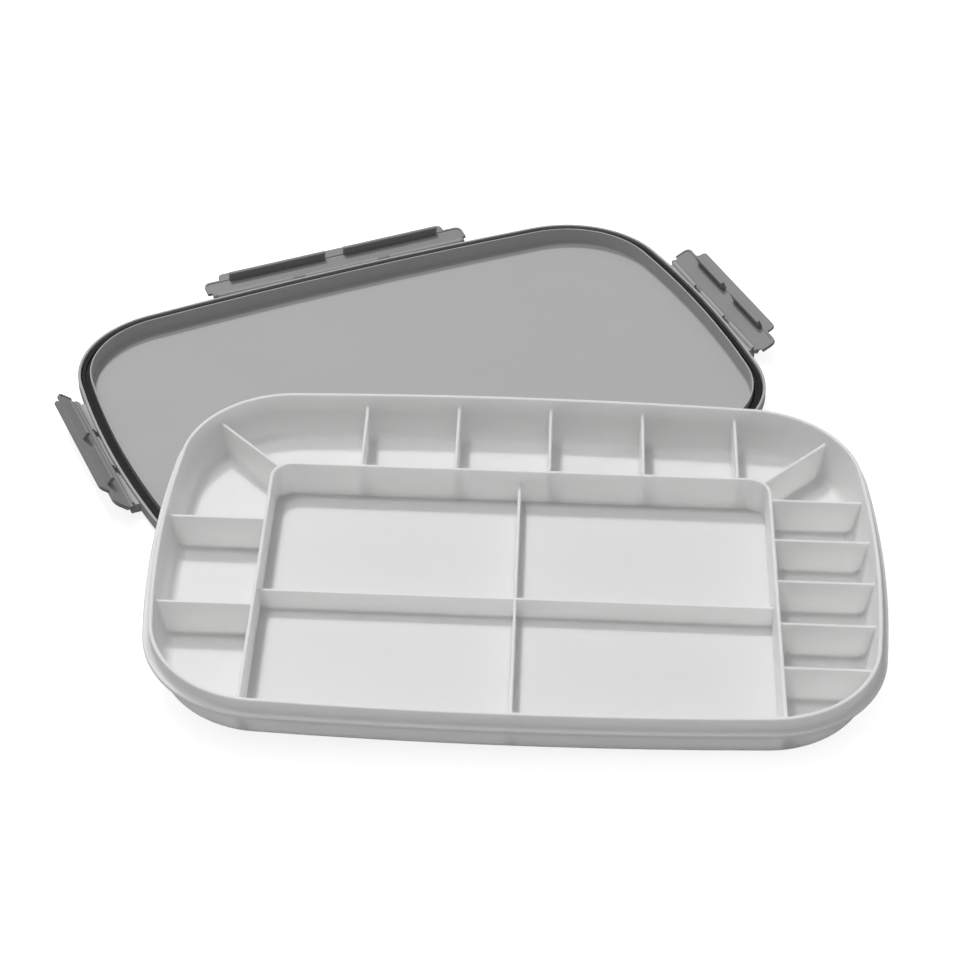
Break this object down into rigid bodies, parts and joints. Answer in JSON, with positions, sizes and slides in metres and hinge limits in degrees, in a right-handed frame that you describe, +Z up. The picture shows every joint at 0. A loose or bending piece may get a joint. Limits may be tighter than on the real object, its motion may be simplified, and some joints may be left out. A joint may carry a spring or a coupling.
{
  "type": "lidded paint palette",
  "caption": "Divided paint tray with an open mixing area, and a gasketed clip-on lid that turns over as a second mixing dish.",
  "frame": {"origin": "centre of the bounding box at table height, with the lid lying upside down and the tray leaning on its front edge", "axes": "+Z up from the table, +X along the tray's long side to the right, +Y from the tray towards the lid behind it"},
  "size_m": [0.4582, 0.494, 0.0469],
  "materials": {
    "tray_white": "satin white moulded plastic",
    "lid_grey": "satin grey moulded plastic",
    "latch_grey": "semi-gloss grey moulded plastic",
    "gasket_black": "soft black rubber"
  },
  "bodies": {
    "lid": {"lid": "lid_grey", "gasket": "gasket_black"},
    "tray": {"tray": "tray_white"},
    "left_latch": {"left_latch": "latch_grey"},
    "right_latch": {"right_latch": "latch_grey"},
    "rear_latch": {"rear_latch": "latch_grey"},
    "front_latch": {"front_latch": "latch_grey"}
  },
  "joints": [
    {"name": "tray_lift", "type": "slide", "parent": "lid", "child": "tray", "axis": [0, 0, 1], "range_m": [0, 0.15]},
    {"name": "left_latch_hinge", "type": "hinge", "parent": "lid", "child": "left_latch", "pos_m": [-0.19641, -0.00624, 0.00961], "axis": [-0.4274, 0.9041, 0], "range_deg": [-67, 50]},
    {"name": "right_latch_hinge", "type": "hinge", "parent": "lid", "child": "right_latch", "pos_m": [0.1504, 0.1577, 0.00961], "axis": [0.4274, -0.9041, 0], "range_deg": [-52, 65]},
    {"name": "rear_latch_hinge", "type": "hinge", "parent": "lid", "child": "rear_latch", "pos_m": [-0.07881, 0.1938, 0.00961], "axis": [0.9041, 0.4274, 0], "range_deg": [-35, 82]},
    {"name": "front_latch_hinge", "type": "hinge", "parent": "lid", "child": "front_latch", "pos_m": [0.03281, -0.04235, 0.00961], "axis": [-0.9041, -0.4274, 0], "range_deg": [0, 117]}
  ],
  "couplings": [
    {"joint": "front_latch_hinge", "follows": "tray_lift", "rad_per_m": 13.612}
  ]
}
